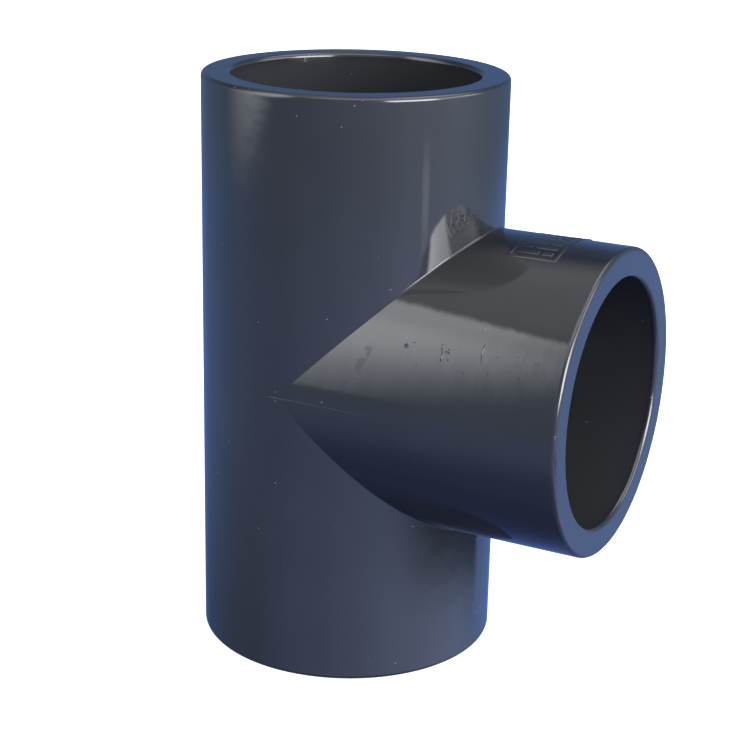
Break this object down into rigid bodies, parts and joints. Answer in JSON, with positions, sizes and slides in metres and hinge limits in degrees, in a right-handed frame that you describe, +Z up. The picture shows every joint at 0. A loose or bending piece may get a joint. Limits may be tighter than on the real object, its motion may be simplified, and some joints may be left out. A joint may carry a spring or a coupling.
{
  "type": "pvc tee fitting",
  "caption": "Equal tee for solvent-welded PVC-U pipe: a straight run with a plain pipe socket at each end and a third socket square to its middle.",
  "frame": {"origin": "where the axis of the run crosses the axis of the branch; the tee stands on its lower mouth, 48.2 mm below", "axes": "+Z up along the run, +X out along the branch, +Y completes the right-handed frame"},
  "size_m": [0.0724, 0.05, 0.0964],
  "materials": {
    "pvc_grey": "dark slate-grey moulded PVC-U, glossy with fine handling marks"
  },
  "bodies": {
    "root": {"junction_body": "pvc_grey", "upper_run_socket": "pvc_grey", "lower_run_socket": "pvc_grey", "branch_socket": "pvc_grey"}
  },
  "joints": []
}
